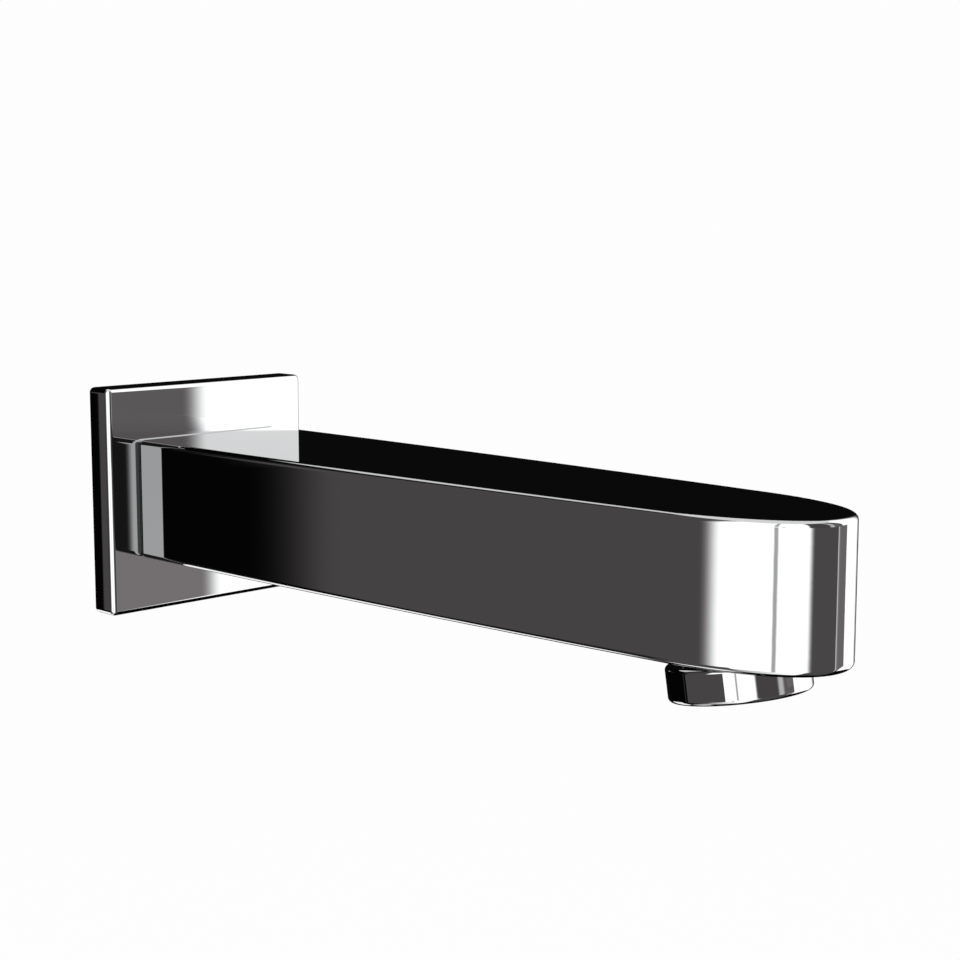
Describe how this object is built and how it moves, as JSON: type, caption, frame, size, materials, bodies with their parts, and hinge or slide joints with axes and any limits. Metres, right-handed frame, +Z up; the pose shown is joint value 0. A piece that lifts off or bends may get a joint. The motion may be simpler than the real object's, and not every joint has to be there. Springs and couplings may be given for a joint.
{
  "type": "bath spout",
  "caption": "Wall-mounted bath spout: flat-topped hollow chrome body with bowed sides and a rounded nose, a rectangular wall plate, a threaded inlet and a tilted aerator ring under the nose.",
  "frame": {"origin": "on the inlet axis, in the plane of the wall, where the connector's thread starts", "axes": "+Y into the wall along the inlet thread, so the spout reaches out along -Y; +Z up; +X to the right as seen from in front of the wall"},
  "size_m": [0.0644, 0.2279, 0.06],
  "materials": {
    "chrome": "mirror-bright chrome plating on brass",
    "brass": "bare turned brass",
    "rubber": "matt moulded rubber",
    "foam": "closed-cell foam",
    "plastic": "moulded acetal",
    "steel": "stainless set screw"
  },
  "bodies": {
    "root": {"spout_body": "chrome", "wall_flange": "chrome", "flange_wall_seal": "foam", "flange_o_ring": "rubber", "inlet_connector": "brass", "connector_o_ring_front": "rubber", "connector_o_ring_rear": "rubber", "grub_screw": "steel", "aerator_housing": "chrome", "aerator_washer": "rubber", "aerator_insert": "plastic", "aerator_grid": "plastic", "aerator_screen": "plastic"}
  },
  "joints": []
}
